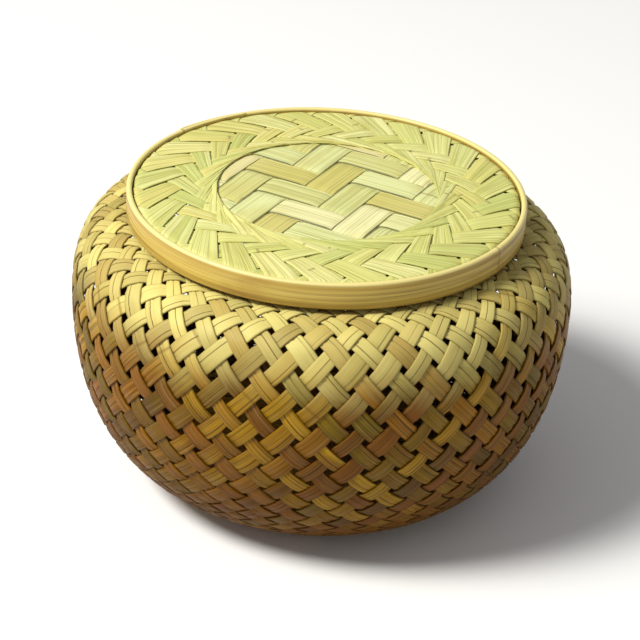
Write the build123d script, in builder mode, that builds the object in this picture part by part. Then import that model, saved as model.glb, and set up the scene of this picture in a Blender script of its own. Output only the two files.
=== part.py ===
"""Round woven bamboo storage basket with a drop-on woven lid.

The bowl bulges out from a small flat mat to a wide belly and rolls in again at the shoulder.
Its strips turn up there into a short neck, which two bent bamboo hoops clamp.
The lid is a flat woven disc: a middle of wide strips in a two-over-two twill, a ring of finer
slanting weave round it, and two bent hoops that clamp the turned-down edge and drop over the neck.

Origin: centre of the underside. +Z is up. Millimetres.
"""
from build123d import *
from math import cos, degrees, radians, sin, sqrt
import os

os.makedirs("parts", exist_ok=True)

# Driving dimensions: the bowl
body_diameter = 230.0
base_diameter = 108.0
mat_diameter = 156.0
widest_height = 89.0
shoulder_height = 126.5
strip_thickness = 1.2
neck_weave_thickness = 1.8

# How round the bowl's section is: handle lengths of its two curves, as shares of each quarter
foot_roundness = 0.56
flank_roundness = 0.69
shoulder_fullness = 0.85
shoulder_flatness = 0.63

# Driving dimensions: the mouth's rim
rim_outer_hoop_thickness = 2.2
rim_inner_hoop_thickness = 2.0
rim_hoop_lift = 0.6
rim_cane_height = 1.4
lashing_thickness = 0.4
lashing_width = 3.0
lashing_count = 24

# Driving dimensions: the lid
lid_diameter = 180.0
lid_hoop_height = 12.4
lid_hoop_thickness = 2.4
lid_edge_weave_thickness = 1.6
lid_inner_hoop_thickness = 2.0
lid_hoop_lip = 0.4
lid_inner_hoop_rise = 0.4
medallion_diameter = 102.0

# Driving dimensions: the wide strips in the middle of the lid
medallion_pitch = 15.6
medallion_strip_gap = 1.8
medallion_strip_count = 7
medallion_turn = -27.8
across_shift = -0.38
along_shift = -0.23

# Driving dimensions: scarf cuts in the bent hoops, and the pegs beside the lid's scarf
scarf_slit = 0.3
scarf_slant = 60.0
scarf_azimuth = 142.0
peg_diameter = 1.6
peg_spacing = 7.0
peg_count = 3

# Clearances
lid_side_clearance = 0.8
lid_seat_clearance = 0.4
lid_shoulder_clearance = 1.5
neck_foot_gap = 0.02

# Worked out from the above: thicknesses and radii, from the lid's edge inwards
weave_thickness = 2 * strip_thickness
lid_outer_r = lid_diameter / 2
lid_edge_outer_r = lid_outer_r - lid_hoop_thickness
lid_edge_inner_r = lid_edge_outer_r - lid_edge_weave_thickness
lid_socket_r = lid_edge_inner_r - lid_inner_hoop_thickness
lashing_outer_r = lid_socket_r - lid_side_clearance
rim_outer_r = lashing_outer_r - lashing_thickness
neck_outer_r = rim_outer_r - rim_outer_hoop_thickness
neck_inner_r = neck_outer_r - neck_weave_thickness
rim_inner_r = neck_inner_r - rim_inner_hoop_thickness
lashing_inner_face_r = sqrt(rim_inner_r**2 - (lashing_width / 2) ** 2)
mouth_r = lashing_inner_face_r - lashing_thickness
base_r = base_diameter / 2
mat_r = mat_diameter / 2
medallion_r = medallion_diameter / 2

# Worked out from the above: heights, from the lid's hoop inwards
foot_height = widest_height / 2
lid_hoop_bottom = shoulder_height + lid_shoulder_clearance
lid_hoop_top = lid_hoop_bottom + lid_hoop_height
lid_disc_top = lid_hoop_top - lid_hoop_lip
lid_disc_bottom = lid_disc_top - weave_thickness
lid_inner_hoop_bottom = lid_hoop_bottom + lid_inner_hoop_rise
lashing_top = lid_disc_bottom - lid_seat_clearance
rim_top = lashing_top - lashing_thickness
neck_top = rim_top - rim_cane_height
rim_hoop_bottom = shoulder_height + rim_hoop_lift
lashing_bottom = rim_hoop_bottom - lashing_thickness


def bowl_section(inset, neck_r):
    """Draw one face of the bowl's wall, this deep inside the outer face, from mat to neck."""
    belly_r = body_diameter / 2 - inset
    top = shoulder_height - inset
    foot_handle = base_r + foot_roundness * (belly_r - base_r)
    flank_handle = widest_height - flank_roundness * (widest_height - inset)
    rise_handle = widest_height + shoulder_fullness * (top - widest_height)
    roll_handle = neck_r + shoulder_flatness * (belly_r - neck_r)
    Bezier((base_r, inset), (foot_handle, inset), (belly_r, flank_handle), (belly_r, widest_height))
    Bezier((belly_r, widest_height), (belly_r, rise_handle), (roll_handle, top), (neck_r, top))


def radial_plane(azimuth):
    """Upright plane through the Z axis: its x runs outwards at this azimuth, its y runs up."""
    angle = radians(azimuth)
    return Plane(origin=(0, 0, 0), x_dir=(cos(angle), sin(angle), 0), z_dir=(sin(angle), -cos(angle), 0))


def outward_plane(azimuth, radius, height):
    """Plane that faces outwards at this azimuth, radius and height."""
    angle = radians(azimuth)
    outwards = (cos(angle), sin(angle), 0)
    return Plane(origin=(radius * cos(angle), radius * sin(angle), height), z_dir=outwards)


def finish(piece, node):
    """Label a finished piece and write it to the parts folder."""
    piece.part.label = node
    export_step(piece.part, f"parts/{node}.step")
    print(f"{node}: {len(piece.part.solids())} solid(s), {piece.part.volume:.0f} mm3")


def bent_hoop(inner_r, outer_r, bottom, top):
    """A band bent into a ring, with its two ends cut to a slant where they meet."""
    middle_r = (inner_r + outer_r) / 2
    angle = radians(scarf_azimuth)
    cut_length = 3 * (outer_r - inner_r) / cos(radians(scarf_slant))
    with BuildPart() as hoop:
        with BuildSketch(Plane.XY.offset(bottom)):
            Circle(outer_r)
            Circle(inner_r, mode=Mode.SUBTRACT)
        extrude(amount=top - bottom)
        with BuildSketch(Plane.XY.offset(bottom)):
            with Locations(Location((middle_r * cos(angle), middle_r * sin(angle)), scarf_azimuth + scarf_slant)):
                Rectangle(cut_length, scarf_slit)
        extrude(amount=top - bottom, mode=Mode.SUBTRACT)
    return hoop


# The scarf's two ends are pegged side by side, so the pegs stand in a row along the hoop
peg_height = (lid_inner_hoop_bottom + lid_disc_bottom) / 2
peg_step = degrees(peg_spacing / lid_outer_r)
peg_first = scarf_azimuth + 2 * peg_step
peg_planes = [
    outward_plane(peg_first + i * peg_step, lid_socket_r - weave_thickness, peg_height)
    for i in range(peg_count)
]
peg_reach = lid_outer_r - lid_socket_r + 2 * weave_thickness


def cut_peg_holes():
    """Drill the peg holes through the piece that is being built."""
    with Locations(*peg_planes):
        Cylinder(
            peg_diameter / 2,
            peg_reach,
            align=(Align.CENTER, Align.CENTER, Align.MIN),
            mode=Mode.SUBTRACT,
        )


def bowl_solid():
    """The bowl's wall up to the neck: flat underneath, then round the belly and the shoulder."""
    with BuildPart() as bowl:
        with BuildSketch(Plane.XZ):
            with BuildLine():
                bowl_section(0, neck_outer_r)
                Polyline(
                    (neck_outer_r, shoulder_height),
                    (neck_inner_r, shoulder_height),
                    (neck_inner_r, shoulder_height - weave_thickness),
                )
                bowl_section(weave_thickness, neck_inner_r)
                Polyline((base_r, weave_thickness), (0, weave_thickness), (0, 0), (base_r, 0))
            make_face()
        revolve(axis=Axis.Z)
    return bowl


# Bowl: the mat of wide strips underneath, flat in the middle and turned up at its edge
base_mat = bowl_solid()
with base_mat:
    Cylinder(mat_r, widest_height, mode=Mode.INTERSECT)
finish(base_mat, "base_mat")

# Bowl: the slanting weave, in four stretches: the foot, the belly, the shoulder, the neck
foot_weave = bowl_solid()
with foot_weave:
    Cylinder(mat_r, widest_height, mode=Mode.SUBTRACT)
    split(bisect_by=Plane.XY.offset(foot_height), keep=Keep.BOTTOM)
finish(foot_weave, "foot_weave")

belly_weave = bowl_solid()
with belly_weave:
    split(bisect_by=Plane.XY.offset(foot_height), keep=Keep.TOP)
    split(bisect_by=Plane.XY.offset(widest_height), keep=Keep.BOTTOM)
finish(belly_weave, "belly_weave")

shoulder_weave = bowl_solid()
with shoulder_weave:
    split(bisect_by=Plane.XY.offset(widest_height), keep=Keep.TOP)
finish(shoulder_weave, "shoulder_weave")

with BuildPart() as neck_weave:
    with BuildSketch(Plane.XY.offset(shoulder_height)):
        Circle(neck_outer_r)
        Circle(neck_inner_r, mode=Mode.SUBTRACT)
    extrude(amount=neck_top - shoulder_height)
finish(neck_weave, "neck_weave")

# Rim: two hoops that clamp the neck, outside and inside
rim_hoop_outer = bent_hoop(neck_outer_r, rim_outer_r, rim_hoop_bottom, neck_top)
finish(rim_hoop_outer, "rim_hoop_outer")
rim_hoop_inner = bent_hoop(rim_inner_r, neck_inner_r, rim_hoop_bottom, neck_top)
finish(rim_hoop_inner, "rim_hoop_inner")

# Rim: a split cane that covers the cut ends of the strips between the hoops
with BuildPart() as rim_cane:
    with BuildSketch(Plane.XZ):
        with BuildLine():
            ThreePointArc(
                (rim_inner_r, neck_top),
                ((rim_inner_r + rim_outer_r) / 2, rim_top),
                (rim_outer_r, neck_top),
            )
            Line((rim_outer_r, neck_top), (rim_inner_r, neck_top))
        make_face()
    revolve(axis=Axis.Z)
finish(rim_cane, "rim_cane")

# Rim: the lashing, flat loops that bind hoops, neck and cane together
with BuildPart() as rim_lashing:
    for i in range(lashing_count):
        with BuildSketch(radial_plane(i * 360 / lashing_count)):
            with Locations(((mouth_r + lashing_outer_r) / 2, (lashing_bottom + lashing_top) / 2)):
                Rectangle(lashing_outer_r - mouth_r, lashing_top - lashing_bottom)
            with Locations(((lashing_inner_face_r + rim_outer_r) / 2, (rim_hoop_bottom + rim_top) / 2)):
                Rectangle(rim_outer_r - lashing_inner_face_r, rim_top - rim_hoop_bottom, mode=Mode.SUBTRACT)
            # the loop goes through a gap between the neck's strips, so its foot stops at the neck's faces
            with Locations(((neck_inner_r + neck_outer_r) / 2, rim_hoop_bottom)):
                Rectangle(neck_weave_thickness + 2 * neck_foot_gap, 4 * lashing_thickness, mode=Mode.SUBTRACT)
        extrude(amount=lashing_width / 2, both=True)
finish(rim_lashing, "rim_lashing")

# Lid: the ring of slanting weave, and its outer edge, turned down between the lid's hoops
with BuildPart() as lid_ring_weave:
    with BuildSketch(Plane.XY.offset(lid_disc_bottom)):
        Circle(lid_edge_outer_r)
        Circle(medallion_r, mode=Mode.SUBTRACT)
    extrude(amount=weave_thickness)
finish(lid_ring_weave, "lid_ring_weave")

with BuildPart() as lid_ring_edge:
    with BuildSketch(Plane.XY.offset(lid_inner_hoop_bottom)):
        Circle(lid_edge_outer_r)
        Circle(lid_edge_inner_r, mode=Mode.SUBTRACT)
    extrude(amount=lid_disc_bottom - lid_inner_hoop_bottom)
    cut_peg_holes()
finish(lid_ring_edge, "lid_ring_edge")


def medallion_strip(number, run, stack, own_shift, cross_shift, is_across):
    """One wide strip of the lid's middle, stepping over two crossing strips and under two.

    The strip lies along run, and its set is counted along stack. own_shift and cross_shift move
    its own set and the set that it crosses off the lid's centre, as shares of the pitch.
    """
    middle = (medallion_strip_count - 1) / 2
    own_place = (number - middle + own_shift) * medallion_pitch
    half_cover = (medallion_pitch - medallion_strip_gap) / 2
    path = []
    for crossing in range(-1, medallion_strip_count + 1):
        place = (crossing - middle + cross_shift) * medallion_pitch
        across_number, along_number = (number, crossing) if is_across else (crossing, number)
        across_is_over = (along_number - across_number + 2) % 4 in (0, 1)
        lift = strip_thickness / 2 if across_is_over == is_across else -strip_thickness / 2
        path.append((place - half_cover, lift))
        path.append((place + half_cover, lift))
    upper = [(x, y + strip_thickness / 2) for x, y in path]
    lower = [(x, y - strip_thickness / 2) for x, y in reversed(path)]
    origin = (own_place * stack[0], own_place * stack[1], (lid_disc_bottom + lid_disc_top) / 2)
    with BuildPart() as strip:
        with BuildSketch(Plane(origin=origin, x_dir=(*run, 0), z_dir=(run[1], -run[0], 0))):
            with BuildLine():
                Polyline(*upper, *lower, close=True)
            make_face()
        extrude(amount=half_cover, both=True)
        with BuildSketch(Plane.XY.offset(lid_disc_bottom)):
            Circle(medallion_r)
        extrude(amount=weave_thickness, mode=Mode.INTERSECT)
    return strip


# Lid: the wide strips of the middle, seven one way and seven the other
turn = radians(medallion_turn)
across_way = (cos(turn), sin(turn))
along_way = (sin(turn), -cos(turn))
for i in range(medallion_strip_count):
    across = medallion_strip(i, across_way, along_way, across_shift, along_shift, True)
    finish(across, f"lid_strip_across_{i + 1}")
    along = medallion_strip(i, along_way, across_way, along_shift, across_shift, False)
    finish(along, f"lid_strip_along_{i + 1}")

# Lid: the outer hoop that shows, and the inner hoop that drops over the neck
lid_hoop_outer = bent_hoop(lid_edge_outer_r, lid_outer_r, lid_hoop_bottom, lid_hoop_top)
with lid_hoop_outer:
    cut_peg_holes()
finish(lid_hoop_outer, "lid_hoop_outer")
lid_hoop_inner = bent_hoop(lid_socket_r, lid_edge_inner_r, lid_inner_hoop_bottom, lid_disc_bottom)
with lid_hoop_inner:
    cut_peg_holes()
finish(lid_hoop_inner, "lid_hoop_inner")

# Lid: pegs that pin both hoops and the turned-down edge beside the scarf
with BuildPart() as lid_pegs:
    with Locations(*peg_planes):
        Cylinder(peg_diameter / 2, peg_reach, align=(Align.CENTER, Align.CENTER, Align.MIN))
    with BuildSketch(Plane.XY.offset(lid_hoop_bottom)):
        Circle(lid_outer_r)
        Circle(lid_socket_r, mode=Mode.SUBTRACT)
    extrude(amount=lid_hoop_height, mode=Mode.INTERSECT)
finish(lid_pegs, "lid_pegs")
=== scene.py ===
# %% [markdown]
# # A round woven bamboo basket with a lid
# The basket is woven from strips split off a bamboo stem. The bowl starts as a mat of wide strips,
# whose split ends turn up and cross each other on a slant all the way to the neck. The lid starts
# the same way and stays flat. Bent bamboo hoops clamp the neck and the lid's edge.
#
# A weave could be a pattern on a smooth bowl, but its gaps, edges and shadows would be missing. So
# each strip here is real mesh that goes over and under its neighbours. The packed CAD model is
# loaded first. It holds every size and the lid's lift, and the woven pieces are placed from it.

# %% Load the CAD frame
import math

import bpy
import numpy as np
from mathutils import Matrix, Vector
from mathutils.bvhtree import BVHTree


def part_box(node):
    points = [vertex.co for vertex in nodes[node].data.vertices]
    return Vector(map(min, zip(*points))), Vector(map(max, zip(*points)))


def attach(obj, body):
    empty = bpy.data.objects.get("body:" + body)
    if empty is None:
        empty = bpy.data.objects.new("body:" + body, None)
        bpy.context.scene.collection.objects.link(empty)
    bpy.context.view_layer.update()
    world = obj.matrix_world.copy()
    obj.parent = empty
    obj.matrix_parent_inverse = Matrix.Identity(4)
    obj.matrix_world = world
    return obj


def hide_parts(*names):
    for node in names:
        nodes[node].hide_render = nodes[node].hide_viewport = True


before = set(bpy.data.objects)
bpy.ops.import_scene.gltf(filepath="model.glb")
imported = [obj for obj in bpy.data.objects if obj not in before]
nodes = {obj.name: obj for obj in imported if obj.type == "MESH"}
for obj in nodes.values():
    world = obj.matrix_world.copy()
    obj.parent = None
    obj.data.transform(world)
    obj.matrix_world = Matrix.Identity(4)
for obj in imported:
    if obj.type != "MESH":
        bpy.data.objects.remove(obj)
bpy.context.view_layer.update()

for name in ("Cube", "Light", "Camera"):
    if name in bpy.data.objects:
        bpy.data.objects.remove(bpy.data.objects[name])

# %% [markdown]
# ## Node trees that read like formulas
# Geometry and shading both come from node trees. The nodes could be added and linked one by one,
# but a formula of one line would then take ten. So a Wire wraps one socket, and sums and products
# of wires add the nodes that work them out.

# %% Wires
class Wire:
    """One wire in a node tree. Arithmetic on it adds the math nodes."""

    def __init__(self, tree, socket):
        self.tree = tree
        self.socket = socket

    def math(self, operation, *others):
        is_vector = self.socket.type == "VECTOR"
        node = self.tree.nodes.new("ShaderNodeVectorMath" if is_vector else "ShaderNodeMath")
        node.operation = operation
        sockets = [s for s in node.inputs if s.enabled]
        for socket, value in zip(sockets, (self, *others)):
            connect(self.tree, value, socket)
        return Wire(self.tree, node.outputs[0])

    def __add__(self, other):
        return self.math("ADD", other)

    def __sub__(self, other):
        return self.math("SUBTRACT", other)

    def __mul__(self, other):
        return self.math("SCALE" if self.socket.type == "VECTOR" else "MULTIPLY", other)

    def __truediv__(self, other):
        return self.math("DIVIDE", other)

    __radd__ = __add__
    __rmul__ = __mul__

    def __rsub__(self, other):
        return (self * -1.0) + other

    def __neg__(self):
        return self * -1.0

    def at_most(self, other):
        return self.math("MINIMUM", other)

    def at_least(self, other):
        return self.math("MAXIMUM", other)

    def size(self):
        return self.math("ABSOLUTE")

    def xyz(self):
        node = self.tree.nodes.new("ShaderNodeSeparateXYZ")
        self.tree.links.new(self.socket, node.inputs[0])
        return [Wire(self.tree, s) for s in node.outputs]


print("besides arithmetic, a wire knows:", [word for word in vars(Wire) if word[0] != "_"])


# %% Adding nodes
def connect(tree, value, socket):
    """Link a wire to this socket, or set the socket to a plain value."""
    if isinstance(value, Wire):
        tree.links.new(value.socket, socket)
    else:
        socket.default_value = value


def pick(sockets, name):
    return next(s for s in sockets if s.name == name and s.enabled)


def add(tree, kind, inputs=None, output=None, **settings):
    """Add a node, set it up, connect its inputs by name, and return the wire of one output."""
    node = tree.nodes.new(kind)
    for name, value in settings.items():
        setattr(node, name, value)
    for name, value in (inputs or {}).items():
        connect(tree, value, pick(node.inputs, name))
    return Wire(tree, pick(node.outputs, output) if output else node.outputs[0])


def vector(tree, x, y, z):
    return add(tree, "ShaderNodeCombineXYZ", {"X": x, "Y": y, "Z": z})


def blend(low, high, share):
    """From low at share 0 to high at share 1."""
    return low + (high - low) * share


def ramp_between(value, start, end):
    """0 below start, 1 above end, smooth between."""
    share = ((value - start) / (end - start)).at_least(0.0).at_most(1.0)
    return share * share * (3.0 - share * 2.0)


# %% [markdown]
# ## Reading the bowl's shape off the CAD model
# The woven wall has to follow the CAD wall. Its curve could be written down here again, but then
# a change in the CAD model would leave the weave behind. So rays sent from all round towards a
# point inside the bowl meet its outer face, from the middle of the mat up to the neck. Where they
# meet it is the outline.

# %% The bowl's outline
def outer_radius(node):
    low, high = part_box(node)
    return (high.x - low.x) / 2


def surface_of(*names):
    """The faces of these CAD nodes, ready to be met by rays."""
    points, faces = [], []
    for name in names:
        mesh = nodes[name].data
        start = len(points)
        points += [v.co.copy() for v in mesh.vertices]
        faces += [[start + i for i in p.vertices] for p in mesh.polygons]
    return BVHTree.FromPolygons(points, faces)


bowl_surface = surface_of("base_mat", "foot_weave", "belly_weave", "shoulder_weave")
shoulder_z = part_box("neck_weave")[0].z
neck_outer_r = outer_radius("neck_weave")
eye = Vector((0, 0, shoulder_z * 0.62))
ray_start = 0.3
shoulder_margin = 0.0002


def outline_point(angle):
    """Where a ray at this angle above level, sent inwards, first meets the bowl: (radius, height)."""
    way = Vector((math.cos(angle), 0, math.sin(angle)))
    hit = bowl_surface.ray_cast(eye + way * ray_start, -way)[0]
    return (math.hypot(hit.x, hit.y), hit.z)


met = [outline_point(math.radians(angle)) for angle in np.arange(-89.0, 31.5, 0.5)]
outline = np.array([p for p in met if p[1] < shoulder_z - shoulder_margin] + [(neck_outer_r, shoulder_z)])
print("outline points:", len(outline), "widest radius:", round(float(outline[:, 0].max()), 4))

# %% [markdown]
# ## One strip as a guide
# The strips could be drawn one by one as curves, but then they would meet at uneven crossings. On
# a round basket every strip of a set has the same path, only turned about the axis. So one strip's
# centre line is worked out here, as a guide: a chain of points that carry the wall's outward
# direction, the direction across the strip, the number of the crossing ("row") and the room that
# each strip has.
#
# A strip leaves the mat along its edge and climbs more and more steeply. Its lean follows the rule
# of a taut ribbon on a round body: the sine of the lean is a radius, the reach, over the radius
# where the ribbon is.

# %% A strip's path over an outline
STRIP_THICKNESS = 0.0011
OUTLINE_STEP = 0.00005
MOST_LEAN_SINE = 0.996
EARLY_TURN_STEP = 0.002


def smooth(low, high, x):
    share = np.clip((x - low) / (high - low), 0, 1)
    return share * share * (3 - 2 * share)


def even_steps(points):
    """The same outline with points at even distances, and each one's distance from the start."""
    gaps = np.linalg.norm(np.diff(points, axis=0), axis=1)
    travelled = np.concatenate([[0], np.cumsum(gaps)])
    places = np.arange(0, travelled[-1], OUTLINE_STEP)
    radius = np.interp(places, travelled, points[:, 0])
    height = np.interp(places, travelled, points[:, 1])
    return places, radius, height


def strip_path(points, reach, lead):
    """A strip's way over an outline, as columns: radius, height, turn, lean and the two slopes.

    reach gives the reach at each share of the way. lead is how far the strip turns before it
    comes nearest to the middle.
    """
    places, radius, height = even_steps(points)
    lean = np.arcsin(np.minimum(np.interp(places / places[-1], *reach) / radius, MOST_LEAN_SINE))
    slope_r, slope_z = np.gradient(radius, places), np.gradient(height, places)
    turn_rate = np.tan(lean) / radius
    turn = np.concatenate([[0], np.cumsum((turn_rate[1:] + turn_rate[:-1]) / 2 * np.diff(places))])
    if lead:
        start = math.pi / 2 - lean[0]
        early = np.arange(-lead, start, EARLY_TURN_STEP)
        level = np.ones(len(early))
        radius = np.concatenate([radius[0] * math.cos(start) / np.cos(early), radius])
        height = np.concatenate([level * height[0], height])
        lean = np.concatenate([math.pi / 2 - early, lean])
        turn = np.concatenate([early, turn + start])
        slope_r = np.concatenate([level, slope_r])
        slope_z = np.concatenate([level * 0, slope_z])
    return radius, height, turn, lean, slope_r, slope_z


print("strip thickness:", STRIP_THICKNESS)


# %% From the path to a guide
def chain_mesh(name, points, layers):
    """Points joined in a chain, with these values kept on them as attributes."""
    mesh = bpy.data.meshes.new(name)
    mesh.from_pydata(points.tolist(), [(i, i + 1) for i in range(len(points) - 1)], [])
    for title, values in layers.items():
        is_number = values.ndim == 1
        layer = mesh.attributes.new(title, "FLOAT" if is_number else "FLOAT_VECTOR", "POINT")
        layer.data.foreach_set("value" if is_number else "vector", values.ravel().astype(np.float32))
    return mesh


def strip_guide(name, points, reach, strips, steps_per_row, hold_until, dive, face=1, lead=0.0):
    """A guide for strips that run along this outline, which starts at the mat's edge.

    Before row hold_until one set simply lies on the other, as where they swirl off the mat. dive
    sinks the first end under its neighbours. face is 1 where the outline runs up the outside of
    the bowl, and -1 where it runs out over the lid.
    """
    path = strip_path(points, reach, lead)
    path_turn = path[2]
    path_row = path_turn * strips / math.pi
    row = np.arange(path_row[0], path_row[-1], 1 / steps_per_row)
    radius, height, turn, lean, slope_r, slope_z = [np.interp(row, path_row, c) for c in path]
    steepness = np.hypot(slope_r, slope_z)
    slope_r, slope_z = (slope_r / steepness)[:, None], (slope_z / steepness)[:, None]
    outwards = np.stack([np.cos(turn), np.sin(turn), 0 * turn], 1)
    around = np.stack([-np.sin(turn), np.cos(turn), 0 * turn], 1)
    up = np.array([0, 0, 1.0])
    out = (outwards * slope_z - up * slope_r) * face
    climb = outwards * slope_r + up * slope_z
    run = climb * np.cos(lean)[:, None] + around * np.sin(lean)[:, None]
    steer = smooth(0.25, 0.5, np.cos(lean))
    sink = dive * (1 - smooth(path_row[0], path_row[0] + 2.0, row))
    centre = outwards * radius[:, None] + up * height[:, None] - out * sink[:, None]
    steps = np.linalg.norm(np.diff(centre, axis=0), axis=1)
    length = np.concatenate([[0], np.cumsum(steps)])
    print(f"{name}: {len(centre)} points, {row[-1]:.1f} crossings, {length[-1] * 1000:.0f} mm")
    return chain_mesh(name, centre, {
        "out": out,
        "side": np.cross(out, run) * (1 - steer)[:, None],
        "spin": -face * steer / (radius * np.maximum(np.cos(lean), 0.1)),
        "shear": -face * steer * np.tan(lean),
        "row": row,
        "room": np.abs(2 * math.pi * radius / strips * np.cos(lean)),
        "hold": 1 - smooth(hold_until - 1, hold_until + 1, row),
        "length": length,
    })


# %% The wall's guide
WALL_STRIPS = 48
mat_r = outer_radius("base_mat")
neck_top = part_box("neck_weave")[1].z
neck_r = neck_outer_r - 0.0009
layers_middle = 1.1 * STRIP_THICKNESS
mat_overlap = 0.0005
bend_size = 0.0012
room_for_ends = 0.0032

wall_line = np.array([p for p in outline if p[0] > mat_r - mat_overlap])
slopes = np.gradient(wall_line, axis=0)
slopes /= np.linalg.norm(slopes, axis=1)[:, None]
wall_line += np.stack([-slopes[:, 1], slopes[:, 0]], 1) * layers_middle
wall_line = np.array([p for p in wall_line if p[0] > neck_r + 0.003 or p[1] < shoulder_z / 2])
bend = [
    (neck_r + bend_size, shoulder_z - layers_middle + 0.0004),
    (neck_r, shoulder_z + bend_size),
    (neck_r, neck_top - room_for_ends),
]
wall_guide = strip_guide(
    "wall_guide",
    np.vstack([wall_line, bend]),
    reach=([0.0, 0.08, 0.35, 0.62, 0.86, 1.0], [0.0785, 0.0805, 0.0815, 0.0745, 0.070, 0.066]),
    strips=WALL_STRIPS,
    steps_per_row=5,
    hold_until=4.0,
    dive=0.0015,
)

# %% The lid's guide
RING_STRIPS = 28
ring_r = outer_radius("lid_ring_weave")
ring_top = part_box("lid_ring_weave")[1].z
ring_width = 0.0366
middle_r = ring_r - ring_width
ring_level = ring_top - 0.00115
edge_r = (ring_r + outer_radius("lid_hoop_inner")) / 2
edge_depth = 0.0065
corner = 0.0014

turned_edge = [
    (edge_r - corner + corner * math.sin(t), ring_level - corner + corner * math.cos(t))
    for t in np.linspace(0, math.pi / 2, 9)
]
lid_line = [(middle_r / MOST_LEAN_SINE, ring_level), *turned_edge, (edge_r, ring_level - edge_depth)]
lid_guide = strip_guide(
    "lid_guide",
    np.array(lid_line),
    reach=([0.0, 1.0], [middle_r, middle_r]),
    strips=RING_STRIPS,
    steps_per_row=8,
    hold_until=3.0,
    dive=0.0014,
    face=-1,
    lead=math.radians(12),
)

# %% [markdown]
# ## Geometry Nodes: from one guide to a whole set of strips
# The set could be modelled with an Array modifier, but then every strip would be the same. In a
# Geometry Nodes tree each strip knows its own number, and seeded noise makes it a little wider,
# narrower or more crooked than the next. The tree makes one blank strip as a cube cut into a grid,
# copies it once for every strip, and then bends each copy along the guide. A point's place in the
# blank says where it goes: its x runs along the strip, its y across and its z through the
# thickness. Over and under come from a wave along the rows. It lifts a strip over one crossing
# strip, or over two in a twill, and sinks it under the next.

# %% Geometry Nodes: opening and closing a tree
def new_tree(name, inputs):
    """A Geometry Nodes tree with these inputs, and a wire for each of them."""
    tree = bpy.data.node_groups.new(name, "GeometryNodeTree")
    tree.interface.new_socket("Geometry", in_out="INPUT", socket_type="NodeSocketGeometry")
    tree.interface.new_socket("Geometry", in_out="OUTPUT", socket_type="NodeSocketGeometry")
    for title, value in inputs.items():
        kind = "Int" if isinstance(value, int) else "Float" if isinstance(value, float) else "Material"
        socket = tree.interface.new_socket(title, in_out="INPUT", socket_type=f"NodeSocket{kind}")
        if kind != "Material":
            socket.default_value = value
    entry = tree.nodes.new("NodeGroupInput")
    wires = {s.name: Wire(tree, s) for s in entry.outputs if s.name}
    return tree, wires


def close_tree(tree, geometry, material):
    """End the tree as every one here ends: smooth faces, real mesh, and its material."""
    geometry = add(tree, "GeometryNodeSetShadeSmooth", {"Geometry": geometry})
    geometry = add(tree, "GeometryNodeRealizeInstances", {"Geometry": geometry})
    geometry = add(tree, "GeometryNodeSetMaterial", {"Geometry": geometry, "Material": material})
    leave = tree.nodes.new("NodeGroupOutput")
    tree.links.new(geometry.socket, leave.inputs[0])
    print(tree.name, "has", len(tree.nodes), "nodes")
    return tree


# %% Geometry Nodes: values on points, and chance
def named(tree, title, kind="FLOAT"):
    """Read an attribute of the points."""
    return add(tree, "GeometryNodeInputNamedAttribute", {"Name": title}, "Attribute", data_type=kind)


def keep(tree, geometry, title, value, kind="FLOAT_VECTOR", domain="POINT"):
    """Store a value on the points as an attribute, where the next nodes or the material read it."""
    inputs = {"Geometry": geometry, "Name": title, "Value": value}
    return add(tree, "GeometryNodeStoreNamedAttribute", inputs, data_type=kind, domain=domain)


def chance(tree, low, high, number, seed):
    """A random value that belongs to this number, the same on every run."""
    inputs = {"Min": low, "Max": high, "ID": number, "Seed": seed}
    return add(tree, "FunctionNodeRandomValue", inputs, "Value", data_type="FLOAT")


def drift(tree, along, number, seed, detail=2.0):
    """A slow random drift along a strip, from about -1 to 1."""
    place = vector(tree, along, number * 7.31, seed * 3.17)
    inputs = {"Vector": place, "Scale": 1.0, "Detail": detail}
    return (add(tree, "ShaderNodeTexNoise", inputs, "Fac") - 0.5) * 3.0


def turned_about_z(tree, spot, angle):
    inputs = {"Vector": spot, "Angle": angle}
    return add(tree, "ShaderNodeVectorRotate", inputs, rotation_type="Z_AXIS")


# %% Geometry Nodes: blank strips, their section and their wave
def blanks(tree, along_count, across_count, how_many):
    """Copies of a blank strip, each point knowing its place in the blank and its strip's number."""
    inputs = {"Vertices X": along_count, "Vertices Y": across_count, "Vertices Z": 2}
    cube = add(tree, "GeometryNodeMeshCube", inputs, "Mesh")
    cube = keep(tree, cube, "blank", add(tree, "GeometryNodeInputPosition"))
    points = add(tree, "GeometryNodePoints", {"Count": how_many})
    copies = add(tree, "GeometryNodeInstanceOnPoints", {"Points": points, "Instance": cube})
    index = add(tree, "GeometryNodeInputIndex")
    copies = keep(tree, copies, "number", index, kind="INT", domain="INSTANCE")
    copies = add(tree, "GeometryNodeRealizeInstances", {"Geometry": copies})
    return copies, named(tree, "blank", "FLOAT_VECTOR").xyz(), named(tree, "number", "INT")


def split_section(across, through, thickness, groove):
    """The section of a split strip: thin at its edges, with a shallow split down its middle.

    Returns the place across, from -0.5 to 0.5, and the place through the thickness. The blank's
    cuts move towards the edges, where the section bends most.
    """
    place = across * (1.853 - across * across * 3.413)
    near_edge = (place * 2.0).size()
    body = thickness * (1.0 - near_edge * near_edge * near_edge * near_edge * 0.38)
    split = groove * (1.0 - near_edge * 2.4).at_least(0.0) * (through + 0.5)
    return place, through * body - split


def weave_wave(tree, row, first, rows_over, firmness):
    """1 where the strip is on top and -1 where it is below, with quick smooth steps between."""
    turn = (row - first) / rows_over * math.pi
    wave = (turn.math("COSINE") * firmness).at_least(-1.0).at_most(1.0)
    return wave * (1.5 - wave * wave * 0.5)


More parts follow.
